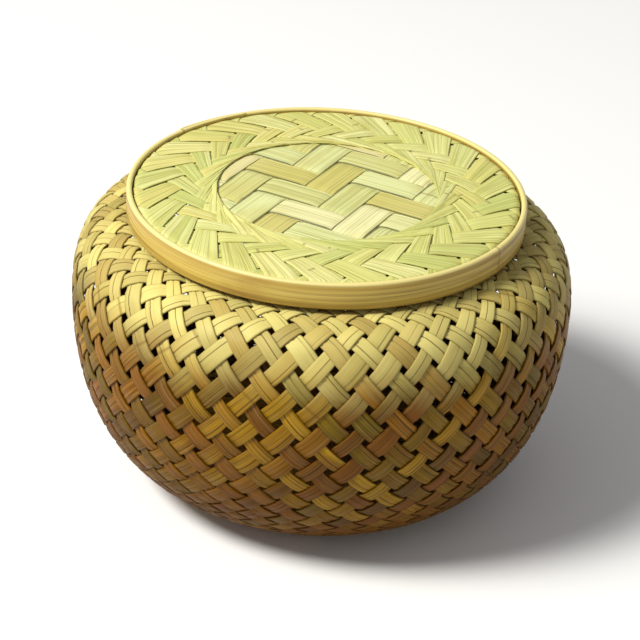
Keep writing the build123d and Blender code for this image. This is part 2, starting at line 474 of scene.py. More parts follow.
# %% Geometry Nodes: how wide a strip is
def width_and_step(tree, given, room, row, height, number):
    """How wide a sliver is, and how far apart the slivers of one strip lie.

    Both shrink with the room between strips. Low on the wall the strips crowd together.
    """
    seed = given["Seed"]
    unevenness = given["Unevenness"]
    own_width = given["Strip width"] * chance(tree, 1.0 - unevenness, 1.0 + unevenness, number, seed)
    pinch = drift(tree, row * 0.35, number, seed + 5.0) * unevenness * 0.5 + 1.0
    step = (room * given["Fill"] / given["Slivers"]).at_most(given["Widest step"])
    loose = (height / given["Tight below"]).at_most(1.0).at_least(0.3)
    gap = (given["Gap"] * loose * chance(tree, 0.7, 1.3, number, seed + 7.0)).at_most(room * 0.27)
    widest = (room * given["Fill"] - gap) / given["Slivers"] * given["Overlap"]
    width = (own_width * pinch).at_most(widest).at_least(given["Narrowest"])
    return width, step


# %% Geometry Nodes: woven set
def woven_set_tree():
    tree, given = new_tree("Woven set", {
        "Strips": WALL_STRIPS,
        "Slivers": 1,
        "Way": 1.0,
        "Strip width": 0.0075,
        "Thickness": STRIP_THICKNESS,
        "Lift": STRIP_THICKNESS / 2,
        "Fill": 1.0,
        "Gap": 0.0021,
        "Tight below": 0.05,
        "Widest step": 0.0045,
        "Narrowest": 0.0011,
        "Overlap": 1.0,
        "Rows over": 1.0,
        "First row": 0.0,
        "Firmness": 1.6,
        "Groove": 0.0002,
        "Crookedness": 0.0009,
        "Unevenness": 0.16,
        "Swirl lift": 0.0,
        "Seed": 1,
        "Material": None,
    })
    guide = given["Geometry"]
    count = add(tree, "GeometryNodeAttributeDomainSize", {"Geometry": guide}, "Point Count")
    copies, (along, across, through), number = blanks(tree, count, 5, given["Strips"] * given["Slivers"])
    place_on_guide = ((along + 0.5) * (count - 1.0)).math("ROUND")

    def on_guide(value, kind="FLOAT"):
        inputs = {"Geometry": guide, "Value": value, "Index": place_on_guide}
        return add(tree, "GeometryNodeSampleIndex", inputs, "Value", data_type=kind)

    centre = on_guide(add(tree, "GeometryNodeInputPosition"), "FLOAT_VECTOR")
    side = on_guide(named(tree, "side", "FLOAT_VECTOR"), "FLOAT_VECTOR")
    out = on_guide(named(tree, "out", "FLOAT_VECTOR"), "FLOAT_VECTOR")
    numbers = ("row", "spin", "shear", "room", "hold", "length")
    row, spin, shear, room, hold, length = [on_guide(named(tree, title)) for title in numbers]

    strip = (number / given["Slivers"] + 0.001).math("FLOOR")
    sliver = number - strip * given["Slivers"]
    seed = given["Seed"]
    width, step = width_and_step(tree, given, room, row, centre.xyz()[2], number)
    crooked = drift(tree, row * 0.22, strip, seed + 1.0) * given["Crookedness"]
    fan = (sliver - (given["Slivers"] - 1.0) * 0.5) * step
    fan = fan + drift(tree, row * 0.3, number, seed + 9.0) * given["Crookedness"] * 0.35

    groove = given["Groove"] * chance(tree, 0.0, 1.6, number, seed + 2.0)
    across_place, through_place = split_section(across, through, given["Thickness"], groove)
    sideways = (across_place * width + fan + crooked) * given["Way"]
    swing = sideways * spin
    crossed = row + swing * given["Strips"] / (2 * math.pi)
    wave = weave_wave(tree, crossed, given["First row"], given["Rows over"], given["Firmness"])
    wave = blend(wave * given["Way"], given["Way"], hold)
    stack = chance(tree, -0.3, 0.3, number, seed + 3.0) * given["Thickness"] * hold
    tilt = across_place * hold * width * 0.22
    lift = wave * given["Lift"] + through_place + stack + tilt + given["Swirl lift"] * hold

    x, y, z = turned_about_z(tree, centre + side * sideways + out * lift, swing).xyz()
    turn = strip * (2 * math.pi) / given["Strips"]
    spot = turned_about_z(tree, vector(tree, x, y * given["Way"], z), turn)
    copies = add(tree, "GeometryNodeSetPosition", {"Geometry": copies, "Position": spot})
    own = chance(tree, 0.0, 1.0, number, seed + 4.0)
    fibre = vector(tree, length + shear * sideways, across_place * width + sliver * 0.01, own)
    copies = keep(tree, copies, "fibre", fibre)
    kind = vector(tree, chance(tree, 0.0, 1.0, strip, seed + 6.0), across_place, row)
    copies = keep(tree, copies, "kind", kind)
    return close_tree(tree, copies, given["Material"])


woven_set = woven_set_tree()


# %% Running a tree on a guide
def run_tree(tree, name, mesh, **values):
    """Run the tree on this mesh and return a plain object with the result."""
    holder = bpy.data.objects.new(name + "_holder", mesh)
    bpy.context.scene.collection.objects.link(holder)
    modifier = holder.modifiers.new(tree.name, "NODES")
    modifier.node_group = tree
    for title, value in values.items():
        socket = tree.interface.items_tree[title.replace("_", " ")]
        modifier[socket.identifier] = value
    evaluated = holder.evaluated_get(bpy.context.evaluated_depsgraph_get())
    result = bpy.data.meshes.new_from_object(evaluated)
    bpy.data.objects.remove(holder)
    result.name = name
    piece = bpy.data.objects.new(name, result)
    bpy.context.scene.collection.objects.link(piece)
    print(f"{name}: {sum(len(p.vertices) - 2 for p in result.polygons)} triangles")
    return piece


def hand_over(piece, body, slot, *cad_nodes):
    """Tie a finished piece to its body and hide the CAD nodes that it stands for. slot is not used."""
    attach(piece, body)
    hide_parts(*cad_nodes)


# %% [markdown]
# ## Bamboo as a material
# Split bamboo shows three things: fine dark and light fibres along the strip, a slow change of
# colour from piece to piece and along each piece, and now and then a node of the stem, a thin dark
# line across with a low swelling. An image wrapped on every strip could show them, but it would
# repeat. One node group works them out instead, from the strip's own measures: the distance along
# it, the place across it and its number. So the fibres bend with every strip and no two strips are
# alike. The materials choose colours and gloss, and they also paint light and shade: the pale
# fibre streaks are partly a painted highlight, the wall is painted darker towards the foot as
# painted shade and paler towards the shoulder as a painted highlight, and the hoops get a painted
# highlight along their top edge.

# %% Fibre node group
def shader_group(name, inputs, outputs):
    """An empty shader node group: its tree, a wire for each input, and its exit."""
    tree = bpy.data.node_groups.new(name, "ShaderNodeTree")
    for title, default in inputs.items():
        kind = "NodeSocketVector" if isinstance(default, tuple) else "NodeSocketFloat"
        socket = tree.interface.new_socket(title, in_out="INPUT", socket_type=kind)
        socket.default_value = default
    for title in outputs:
        tree.interface.new_socket(title, in_out="OUTPUT", socket_type="NodeSocketFloat")
    entry = tree.nodes.new("NodeGroupInput")
    wires = {s.name: Wire(tree, s) for s in entry.outputs if s.name}
    return tree, wires, tree.nodes.new("NodeGroupOutput")


def noise(tree, place, scale, detail=2.0, roughness=0.5):
    inputs = {"Vector": place, "Scale": scale, "Detail": detail, "Roughness": roughness}
    return add(tree, "ShaderNodeTexNoise", inputs, "Fac")


STEM_NODE_SPACING = 0.29


def fibre_group():
    """Streaks, blotches and stem nodes. Noise is stretched: few waves along, very many across."""
    inputs = {"Fibre": (0.0, 0.0, 0.0), "Fineness": 1.0, "Node spacing": STEM_NODE_SPACING}
    outputs = ("Streaks", "Fine streaks", "Blotches", "Node line", "Height")
    tree, given, leave = shader_group("Bamboo fibre", inputs, outputs)
    along, across, piece = given["Fibre"].xyz()
    fineness = given["Fineness"]
    own = piece * 41.7
    streaks = noise(tree, vector(tree, along * 9.0, across * 1100.0 * fineness, own), 1.0, 3.0, 0.65)
    fine = noise(tree, vector(tree, along * 30.0, across * 3800.0 * fineness, own + 5.0), 1.0, 2.0, 0.6)
    blotches = noise(tree, vector(tree, along * 28.0, across * 55.0, own + 9.0), 1.0, 3.0, 0.55)
    wavy = noise(tree, vector(tree, across * 260.0, own, 3.0), 1.0, 1.0) - 0.5
    place = (along / given["Node spacing"] + piece).math("FRACT") - 0.5
    place = place * given["Node spacing"] + wavy * 0.0005
    line = 1.0 - ramp_between(place.size(), 0.0002, 0.0011)
    swelling = 1.0 - ramp_between(place.size(), 0.0005, 0.0040)
    height = streaks * 0.45 + fine * 0.35 + swelling * 0.6 - line * 0.5
    for title, wire in zip(outputs, (streaks, fine, blotches, line, height)):
        connect(tree, wire, leave.inputs[title])
    return tree


fibre_shader = fibre_group()
print(fibre_shader.name, "has", len(fibre_shader.nodes), "nodes")


# %% Colours for materials
def srgb(red, green, blue):
    """A colour given as 0 to 255 screen values, as the linear colour that Blender works with."""
    parts = [c / 255 for c in (red, green, blue)]
    return tuple(c / 12.92 if c <= 0.04045 else ((c + 0.055) / 1.055) ** 2.4 for c in parts) + (1.0,)


def palette(tree, share, colours):
    """A colour from these, picked by a number from 0 to 1."""
    node = tree.nodes.new("ShaderNodeValToRGB")
    elements = node.color_ramp.elements
    while len(elements) < len(colours):
        elements.new(0.5)
    for k, colour in enumerate(colours):
        elements[k].position = (k + 0.5) / len(colours)
        elements[k].color = srgb(*colour)
    connect(tree, share, node.inputs[0])
    return Wire(tree, node.outputs[0])


def painted(tree, ground, layers):
    """The ground colour with thin layers of paint over it, each with its colour and its mask."""
    for colour, mask in layers:
        inputs = {"Factor": mask, "A": ground, "B": srgb(*colour)}
        ground = add(tree, "ShaderNodeMix", inputs, "Result", data_type="RGBA", blend_type="MIX")
    return ground


def new_material(name):
    """A material with an empty tree."""
    material = bpy.data.materials.new(name)
    material.use_nodes = True
    material.node_tree.nodes.clear()
    return material, material.node_tree


def finish_material(tree, colour, rough, height, bump_strength, bump_depth):
    """End a material with a Principled shader, which is returned for its own settings."""
    inputs = {"Height": height, "Strength": bump_strength, "Distance": bump_depth}
    bump = add(tree, "ShaderNodeBump", inputs, "Normal")
    shader = tree.nodes.new("ShaderNodeBsdfPrincipled")
    connect(tree, colour, shader.inputs["Base Color"])
    connect(tree, rough, shader.inputs["Roughness"])
    connect(tree, bump, shader.inputs["Normal"])
    leave = tree.nodes.new("ShaderNodeOutputMaterial")
    tree.links.new(shader.outputs[0], leave.inputs[0])
    return shader


# %% Bamboo material
# The pale colour of the glint streaks: partly the bamboo's pale fibres, partly a painted highlight.
PALE_FIBRE_GLINT = (255, 248, 196)
STEM_NODE_BROWN = (104, 70, 26)
CRACK_BROWN = (90, 66, 22)


def attribute(tree, title):
    return add(tree, "ShaderNodeAttribute", None, "Vector", attribute_name=title)


def bamboo_material(name, colours, streak_colour, stain_colour, stain=0.5, foot_shade_colour=None, foot_shade_height=0.0,
                    lit_shoulder_colour=None, lit_shoulder_height=1.0, fineness=1.0, gloss=0.42, skin=None, glint=0.16,
                    shine=0.35, split=0.0, lit_top_colour=None, seed=0.0):
    """Split bamboo, painted from the ground colour up.

    colours are picked piece by piece. stain and split are how strongly blotches and splits show.
    glint is how strongly pale fibre streaks show; they are partly the bamboo's pale fibres and partly
    a painted highlight. The low colour is painted shade, darker towards the foot, and fades out at
    its height limit. The high colour is a painted highlight, paler towards the shoulder, and is full
    at its height limit. skin belongs to hoops, and so does the top colour, a painted highlight on a
    hoop's top edge. A high gloss value is a duller surface.
    """
    material, tree = new_material(name)
    fibre = attribute(tree, "fibre")
    along, across, piece = fibre.xyz()
    kind_random, kind_across = attribute(tree, "kind").xyz()[:2]
    group = tree.nodes.new("ShaderNodeGroup")
    group.node_tree = fibre_shader
    connect(tree, fibre, group.inputs["Fibre"])
    group.inputs["Fineness"].default_value = fineness
    streaks, fine, blotches, line, height = [Wire(tree, s) for s in group.outputs]

    slow = noise(tree, vector(tree, along * 7.0, piece * 63.0, seed), 1.0, 2.0)
    pick_share = (kind_random * 7.13 + seed).math("FRACT") + (slow - 0.5) * 0.5
    stained = ramp_between(blotches + (slow - 0.5) * 0.3, 0.5, 0.68)
    layers = [
        (stain_colour, stained * stain),
        (streak_colour, ramp_between(streaks, 0.42, 0.68) * 0.7),
        # pale fibre streaks, partly a painted highlight
        (PALE_FIBRE_GLINT, ramp_between(fine, 0.5, 0.8) * glint),
    ]
    height_above = add(tree, "ShaderNodeTexCoord", None, "Object").xyz()[2] + (blotches - 0.5) * 0.03
    # painted shade: darker towards the foot, its upper edge made uneven by the blotches
    if foot_shade_colour:
        layers.append((foot_shade_colour, (1.0 - ramp_between(height_above, 0.0, foot_shade_height)) * 0.75))
    # painted highlight: paler towards the shoulder, by a random share for each strip
    if lit_shoulder_colour:
        shoulder_light_share = (kind_random * 3.31 + seed).math("FRACT") * 0.45 + 0.35
        layers.append((lit_shoulder_colour, ramp_between(height_above, lit_shoulder_height - 0.035, lit_shoulder_height) * shoulder_light_share))
    off_split = (kind_across - (piece * 3.7).math("FRACT") * 0.5 + 0.25 + (slow - 0.5) * 0.1).size()
    split_here = ramp_between(streaks + slow * 0.5, 0.62, 0.78)
    layers.append((streak_colour, (1.0 - ramp_between(off_split, 0.008, 0.05)) * split_here * split))
    edge = ramp_between(kind_across.size(), 0.40, 0.5)
    layers.append((streak_colour, edge * 0.28))
    if skin:
        layers.append((skin, (1.0 - edge) * ramp_between(fine, 0.35, 0.6) * 0.3))
    # painted highlight along the top edge of a hoop, where the light falls
    if lit_top_colour:
        layers.append((lit_top_colour, ramp_between(kind_across, 0.72, 0.95) * 0.8))
    layers.append((STEM_NODE_BROWN, line * 0.45))
    layers.append((CRACK_BROWN, ramp_between(streaks * 0.6 + fine * 0.4, 0.64, 0.72) * 0.35))

    colour = painted(tree, palette(tree, pick_share, colours), layers)
    rough = (gloss + (streaks - 0.5) * 0.25 + stained * 0.08).at_least(0.15).at_most(0.9)
    shader = finish_material(tree, colour, rough, height, 0.75, 0.00012)
    shader.inputs["Specular IOR Level"].default_value = shine
    print(name, "has", len(tree.nodes), "nodes")
    return material


# %% [markdown]
# ## The colours of this basket
# The wall is golden brown. It is painted darker towards the foot, as painted shade, and paler
# towards the shoulder, as a painted highlight. The lid is pale and greenish. One material for all
# of it would look dipped, so each kind of strip has its own set of colours.

# %% Wall and mat bamboo
# The wall's low colour is painted shade towards the foot, its high colour a painted highlight towards the
# shoulder, and its glint pale fibre streaks that are partly a painted highlight.
wall_bamboo = bamboo_material(
    "wall bamboo",
    colours=[(118, 70, 0), (140, 94, 2), (98, 74, 0), (114, 64, 0), (174, 134, 22),
             (80, 58, 0), (126, 76, 0), (154, 114, 6), (104, 84, 0), (144, 94, 2)],
    streak_colour=(66, 40, 0), stain_colour=(110, 64, 0), stain=0.75, glint=0.13, shine=0.12,
    gloss=0.5, split=0.8, foot_shade_colour=(76, 42, 0), foot_shade_height=0.09, lit_shoulder_colour=(230, 218, 134),
    lit_shoulder_height=0.124, seed=0.31,
)
mat_bamboo = bamboo_material(
    "mat bamboo",
    colours=[(140, 100, 26), (150, 112, 32), (128, 98, 24), (142, 88, 22)],
    streak_colour=(74, 44, 8), stain_colour=(96, 56, 14), stain=0.7, gloss=0.5, seed=0.77,
)

# %% Lid bamboo
ring_bamboo = bamboo_material(
    "lid sliver bamboo",
    colours=[(212, 210, 126), (220, 220, 142), (202, 204, 118), (216, 206, 122), (226, 224, 154),
             (194, 200, 116)],
    streak_colour=(156, 150, 72), stain_colour=(188, 180, 94), stain=0.45, fineness=1.3, seed=0.12,
)
middle_bamboo = bamboo_material(
    "lid middle bamboo",
    colours=[(232, 228, 172), (204, 208, 136), (226, 218, 152), (184, 192, 126), (230, 218, 166),
             (196, 186, 92), (216, 220, 156)],
    streak_colour=(160, 156, 84), stain_colour=(196, 188, 108), stain=0.5, fineness=0.9, split=0.4,
    seed=0.52,
)

# %% Hoop bamboo and cane
# The hoop's top colour is a painted highlight along its top edge.
hoop_bamboo = bamboo_material(
    "hoop bamboo",
    colours=[(188, 156, 66), (196, 168, 76)],
    streak_colour=(126, 90, 26), stain_colour=(158, 120, 44), stain=0.5, gloss=0.38,
    skin=(208, 188, 98), lit_top_colour=(238, 224, 150), seed=0.05,
)
cane = bamboo_material(
    "split cane",
    colours=[(206, 174, 98), (216, 186, 110), (196, 164, 90)],
    streak_colour=(140, 106, 50), stain_colour=(170, 134, 70), stain=0.4, gloss=0.35, seed=0.9,
)

# %% [markdown]
# ## The wall, the shoulder and the neck
# Forty-eight strips lean one way and forty-eight the other, over one and under one. They could be
# cut where the CAD wall is cut, into foot, belly, shoulder and neck, but the cuts would show. On
# the real basket a strip is one piece from the mat to the neck, and so it is here. Each of the two
# sets is one mesh.

# %% Weave the bowl
for name, way, seed in (("wall_strips_right", 1.0, 3), ("wall_strips_left", -1.0, 8)):
    wall = run_tree(woven_set, name, wall_guide, Way=way, Seed=seed, Material=wall_bamboo)
    hand_over(wall, "basket", "bamboo_wall", "foot_weave", "belly_weave", "shoulder_weave", "neck_weave")

# %% [markdown]
# ## The lid's ring
# The lid's strips are split into three slivers each, twenty-eight strips each way. They swirl
# round the middle like an iris, run straight out, pass over two and under two, and turn down at
# the edge, where the lid's hoops clamp them. It is the same kind of weave as the wall, so the same
# tree makes it, on the lid's guide and with other sizes.

# %% Weave the lid's ring
for name, way, seed in (("lid_slivers_right", 1.0, 21), ("lid_slivers_left", -1.0, 34)):
    ring = run_tree(
        woven_set, name, lid_guide, Strips=RING_STRIPS, Slivers=3, Way=way, Seed=seed,
        Material=ring_bamboo, Strip_width=0.0051, Thickness=0.0007, Lift=0.00042, Fill=0.885, Gap=0.0,
        Widest_step=0.0053, Narrowest=0.0023, Overlap=1.05, Rows_over=2.0, First_row=3.5,
        Firmness=1.7, Groove=0.00008, Crookedness=0.0004, Unevenness=0.06, Swirl_lift=0.0003,
    )
    hand_over(ring, "lid", "bamboo_lid_weave", "lid_ring_weave", "lid_ring_edge")

# %% [markdown]
# ## Geometry Nodes: a crossed mat
# The middle of the lid and the mat under the bowl are wide strips laid square across each other
# in a twill: over two and under two, with each strip one step on from its neighbour. Modelling
# them by hand would mean cutting every strip to the circle again after each change. In the tree
# a strip ends where it meets the circle, so its length follows from its place. Under the bowl the
# mat turns up beyond its flat middle, and under the lid its cut ends dive below the ring.

# %% Geometry Nodes: crossed mat
def along_or_across(tree, is_across, when_along, when_across):
    inputs = {"Factor": is_across, "A": when_along, "B": when_across}
    return add(tree, "ShaderNodeMix", inputs, "Result", data_type="VECTOR")


def crossed_mat_tree():
    tree, given = new_tree("Crossed mat", {
        "Strips": 1,
        "First number": 0,
        "Middle number": 3.0,
        "Way": 1.0,
        "Turn": 0.0,
        "Own shift": 0.0,
        "Cross shift": 0.0,
        "Pitch": 0.0156,
        "Strip width": 0.0150,
        "Thickness": 0.0009,
        "Lift": 0.00056,
        "Height": 0.1383,
        "Radius": 0.051,
        "Flat radius": 0.1,
        "Rise": 0.0,
        "End dive": 0.0004,
        "Groove": 0.0001,
        "Crookedness": 0.0006,
        "Length cuts": 90,
        "Seed": 5,
        "Material": None,
    })
    copies, (along, across, through), index = blanks(tree, given["Length cuts"], 9, given["Strips"])
    number = index + given["First number"]
    seed, pitch, radius = given["Seed"], given["Pitch"], given["Radius"]
    width = given["Strip width"] * chance(tree, 0.97, 1.02, number, seed)
    groove = given["Groove"] * chance(tree, 0.3, 1.6, number, seed + 2.0)
    across_place, through_place = split_section(across, through, given["Thickness"], groove)
    own_place = (number - given["Middle number"] + given["Own shift"]) * pitch
    bowed = drift(tree, along * 2.0, number, seed + 1.0) * given["Crookedness"]
    near_edge = (own_place - width * 0.5 + bowed).at_least(radius * -0.998)
    far_edge = (own_place + width * 0.5 + bowed).at_most(radius * 0.998)
    y = blend(near_edge, far_edge, 0.5 - across_place * given["Way"])
    half_length = (radius * radius - y * y).at_least(0.0).math("SQRT")
    x = along * 2.0 * half_length

    crossed = x / pitch - given["Cross shift"] + given["Middle number"]
    phase = given["Way"] * (crossed - number) + 2.0
    wave = weave_wave(tree, phase, 0.5, 2.0, 2.2) * given["Way"]
    far = (x * x + y * y).math("SQRT")
    beyond = (far - given["Flat radius"]).at_least(0.0)
    end = ramp_between(far, radius - 0.004, radius)
    crown = (1.0 - across_place * across_place * 4.0) * 0.00012
    z = given["Height"] + wave * given["Lift"] + through_place + beyond * beyond * given["Rise"]
    z = z + crown - end * given["End dive"]

    turn = given["Turn"]
    run = vector(tree, turn.math("COSINE"), turn.math("SINE"), 0.0)
    stack = vector(tree, turn.math("SINE"), -turn.math("COSINE"), 0.0)
    is_across = given["Way"] * 0.5 + 0.5
    own_run = along_or_across(tree, is_across, stack, run)
    own_stack = along_or_across(tree, is_across, run, stack)
    spot = own_run * x + own_stack * y + vector(tree, 0.0, 0.0, z)
    copies = add(tree, "GeometryNodeSetPosition", {"Geometry": copies, "Position": spot})
    own = chance(tree, 0.0, 1.0, number, seed + 4.0)
    copies = keep(tree, copies, "fibre", vector(tree, x + number * 0.13, across_place * width, own))
    kind = vector(tree, chance(tree, 0.0, 1.0, number, seed + 6.0), across_place, wave)
    copies = keep(tree, copies, "kind", kind)
    return close_tree(tree, copies, given["Material"])


crossed_mat = crossed_mat_tree()

# %% [markdown]
# ## The wide strips in the middle of the lid
# All fourteen could be one mesh, like a set of wall strips. But each has its own CAD strip, so
# each is a piece of its own, on that strip's place: seven one way and seven the other. They lie a
# little lower than the ring, so the ring's inner edge throws a thin shadow.

# %% Weave the lid's middle
MIDDLE_STRIPS = 7
middle_turn = math.radians(-27.8)
across_shift, along_shift = -0.38, -0.23
middle_level = ring_top - 0.0017
for number in range(MIDDLE_STRIPS):
    for label, way, own, cross in (
        ("across", 1.0, across_shift, along_shift),
        ("along", -1.0, along_shift, across_shift),
    ):
        wide_strip = run_tree(
            crossed_mat, f"middle_{label}_{number + 1}", bpy.data.meshes.new("start"),
            First_number=number, Way=way, Turn=middle_turn, Own_shift=own, Cross_shift=cross,
            Height=middle_level, Seed=40 + number, Material=middle_bamboo,
        )
        hand_over(wide_strip, "lid", "bamboo_lid_strip", f"lid_strip_{label}_{number + 1}")

# %% [markdown]
# ## The mat under the bowl
# Twelve wide strips each way carry the bowl. Past the flat part on which the basket stands they
# turn up and are split, and the halves become the wall's strips. A flat disc would do from the
# side, but the weave shows when the basket is open, so the same tree as for the lid's middle lays
# it, with its ends bent up.

# %% Weave the mat
mat_reach = mat_r + 0.002
for label, way in (("across", 1.0), ("along", -1.0)):
    mat = run_tree(
        crossed_mat, f"mat_{label}", bpy.data.meshes.new("start"),
        Strips=12, Middle_number=5.5, Way=way, Turn=math.radians(15), Own_shift=0.2, Cross_shift=0.2,
        Pitch=0.0132, Strip_width=0.0128, Thickness=STRIP_THICKNESS, Lift=STRIP_THICKNESS / 2,
        Height=0.00115, Radius=mat_reach, Flat_radius=0.054, Rise=9.22, End_dive=0.0, Groove=0.0002,
        Length_cuts=150, Seed=60, Material=mat_bamboo,
    )
    hand_over(mat, "basket", "bamboo_base", "base_mat")

# %% [markdown]
# ## Bent hoops
# A hoop is a long shaved strip of bamboo, bent round and lapped onto itself. Both ends are shaved
# to a wedge so that the lap is hardly thicker than the hoop. The swelling of a stem's nodes shows
# as a low ridge on the outside. A torus would give the ring but not the lap, and a curve with a
# bevel can't change its thickness on one side only. So the mesh is a rounded section swept round
# in plain Python, which sets each section's inner and outer face.

# %% Sections and sweeps
def rounded_section(half_width, half_height, radius, steps=4):
    """Points of a rounded rectangle, counter-clockwise."""
    points = []
    for corner_x, corner_y, first in ((1, 1, 0), (-1, 1, 90), (-1, -1, 180), (1, -1, 270)):
        for k in range(steps + 1):
            angle = math.radians(first + 90 * k / steps)
            x = corner_x * (half_width - radius) + radius * math.cos(angle)
            y = corner_y * (half_height - radius) + radius * math.sin(angle)
            points.append((x, y))
    return points


def mesh_object(name, points, faces, fibre, kind, material):
    """A smooth mesh with the two attributes that the bamboo materials read."""
    mesh = bpy.data.meshes.new(name)
    mesh.from_pydata(points, [], faces)
    for title, values in (("fibre", fibre), ("kind", kind)):
        layer = mesh.attributes.new(title, "FLOAT_VECTOR", "POINT")
        layer.data.foreach_set("vector", np.array(values, np.float32).ravel())
    mesh.polygons.foreach_set("use_smooth", [True] * len(mesh.polygons))
    mesh.materials.append(material)
    mesh.update()
    piece = bpy.data.objects.new(name, mesh)
    bpy.context.scene.collection.objects.link(piece)
    print(f"{name}: {sum(len(f) - 2 for f in faces)} triangles")
    return piece


def swept_faces(sections, around):
    """Quads between closed sections of this many points, and a cap on each end."""
    faces = []
    for i in range(sections - 1):
        for k in range(around):
            a, b = i * around + k, i * around + (k + 1) % around
            faces.append((a + around, b + around, b, a))
    last = (sections - 1) * around
    faces.append(tuple(range(around)))
    faces.append(tuple(range(last + around - 1, last - 1, -1)))
    return faces


print("a section has", len(rounded_section(1, 1, 0.2)), "points")

# %% A bent band
BAND_STEPS = 300
BUTT_GAP = 0.006
SHAVED_SHARE = 0.22
LAP_GAP = 0.00006


def stem_node_ridge(along, piece_share):
    """How far a stem's node swells out of the band at this distance, with a dip beside it."""
    place = ((along / STEM_NODE_SPACING + piece_share) % 1 - 0.5) * STEM_NODE_SPACING
    swelling = 0.00038 * math.exp(-((place / 0.0022) ** 2))
    dip = 0.0002 * math.exp(-(((place - 0.0032) / 0.0010) ** 2))
    return swelling - dip


def bent_band(name, inner_r, outer_r, bottom, top, seam, lap, piece_share, roundness, crown):
    """A flat band wrapped once round, lapped over itself from the angle seam."""
    thick = outer_r - inner_r
    tip = SHAVED_SHARE
    total = 2 * math.pi + (lap or -BUTT_GAP)
    rng = np.random.default_rng(int(piece_share * 1000))
    wobble = rng.uniform(-1, 1, 6)
    half_h = (top - bottom) / 2
    points, fibre, kind = [], [], []
    for i in range(BAND_STEPS + 1):
        swept = total * i / BAND_STEPS
        start_share = min(swept / lap, 1) if lap else 1
        end_share = min((total - swept) / lap, 1) if lap else 1
        pushed_out = thick * tip * (1 - end_share)
        leaf_in = inner_r + thick * (1 - (tip + (1 - tip) * end_share)) + pushed_out
        leaf_out = inner_r + thick * (tip + (1 - tip) * start_share) + pushed_out
        if start_share < 1:
            leaf_out -= LAP_GAP
        along = swept * outer_r
        ridge = stem_node_ridge(along, piece_share)
        sway = sum(w * math.sin((k + 1) * swept + 7 * w) for k, w in enumerate(wobble)) * 0.00004
        half_w = (leaf_out - leaf_in) / 2
        angle = seam + swept
        for x, y in rounded_section(half_w, half_h + sway, min(roundness, half_w * 0.9)):
            fullness = crown * (1 - (y / half_h) ** 2) + ridge if x > 0 else 0.0
            r = (leaf_in + leaf_out) / 2 + x + fullness
            points.append((r * math.cos(angle), r * math.sin(angle), (top + bottom) / 2 + y))
            fibre.append((along, y + (0.02 if x < 0 else 0.0), piece_share))
            kind.append((piece_share, y / half_h, x / half_w))
    faces = swept_faces(BAND_STEPS + 1, len(points) // (BAND_STEPS + 1))
    return mesh_object(name, points, faces, fibre, kind, hoop_bamboo)


def inner_radius(node):
    return min(math.hypot(v.co.x, v.co.y) for v in nodes[node].data.vertices)


# %% Bend the hoops
hoops = (
    dict(name="lid_hoop_outside", node="lid_hoop_outer", body="lid",
         seam=142, lap=24, share=0.37, roundness=0.0010, crown=0.0007),
    dict(name="lid_hoop_inside", node="lid_hoop_inner", body="lid",
         seam=142, lap=20, share=0.71, roundness=0.0006, crown=0.0002),
    dict(name="rim_hoop_outside", node="rim_hoop_outer", body="basket",
         seam=205, lap=22, share=0.15, roundness=0.0006, crown=0.0002),
    dict(name="rim_hoop_inside", node="rim_hoop_inner", body="basket",
         seam=250, lap=22, share=0.55, roundness=0.0006, crown=0.0002),
    dict(name="rim_cane_cover", node="rim_cane", body="basket",
         seam=300, lap=0, share=0.83, roundness=0.0007, crown=0.0),
)
for plan in hoops:
    node = plan["node"]
    low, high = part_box(node)
    hoop = bent_band(
        plan["name"], inner_radius(node), outer_radius(node), low.z, high.z,
        math.radians(plan["seam"] - plan["lap"]), math.radians(plan["lap"]), plan["share"],
        plan["roundness"], plan["crown"],
    )
    hand_over(hoop, plan["body"], "bamboo_hoop", node)

# %% [markdown]
# ## The lashing
# Twenty-four wraps of split cane bind the rim's hoops, the neck and the cover cane. Each wrap is
# two turns side by side, a little slanted, round all of them and through a gap between strips. A
# curve object could be drawn for each turn, but a flat cane has to stay flat on the rim round
# every corner. So a turn is a rounded section placed along a rectangle with rounded corners.

# %% One turn of cane
CANE_WIDTH = 0.0015
CANE_THICKNESS = 0.0004
CANE_CORNER = 0.0007
CORNER_STEPS = 5


def turn_path(low, high, inner_r, outer_r):
    """Places round the rim's section, each as (radius, height, direction outwards)."""
    curve = CANE_CORNER
    corners = (
        (inner_r + curve, low + curve, 180), (outer_r - curve, low + curve, 270),
        (outer_r - curve, high - curve, 0), (inner_r + curve, high - curve, 90),
    )
    path = []
    for centre_r, centre_z, first in corners:
        for k in range(CORNER_STEPS + 1):
            angle = math.radians(first + 90 * k / CORNER_STEPS)
            r, z = centre_r + curve * math.cos(angle), centre_z + curve * math.sin(angle)
            path.append((r, z, angle))
    return path


def cane_turn(path, slant_in, slant_out, offset):
    """One turn of cane at angle 0, as points, faces and the two attributes."""
    points, fibre, kind = [], [], []
    for i, (r, z, angle) in enumerate(path):
        share = i / (len(path) - 1)
        swing = 0.5 - 0.5 * math.cos(2 * math.pi * share)
        shift = offset + slant_in + (slant_out - slant_in) * swing
        for x, y in rounded_section(CANE_WIDTH / 2, CANE_THICKNESS / 2, CANE_THICKNESS * 0.42, 2):
            reach = y - CANE_THICKNESS / 2
            points.append((r + reach * math.cos(angle), shift + x, z + reach * math.sin(angle)))
            fibre.append((share * 0.036 + offset * 9, x))
            kind.append((x / CANE_WIDTH, 0.0))
    count = len(path)
    around = len(points) // count
    faces = []
    for i in range(count):
        j = (i + 1) % count
        for k in range(around):
            k2 = (k + 1) % around
            faces.append((j * around + k, j * around + k2, i * around + k2, i * around + k))
    return points, faces, fibre, kind


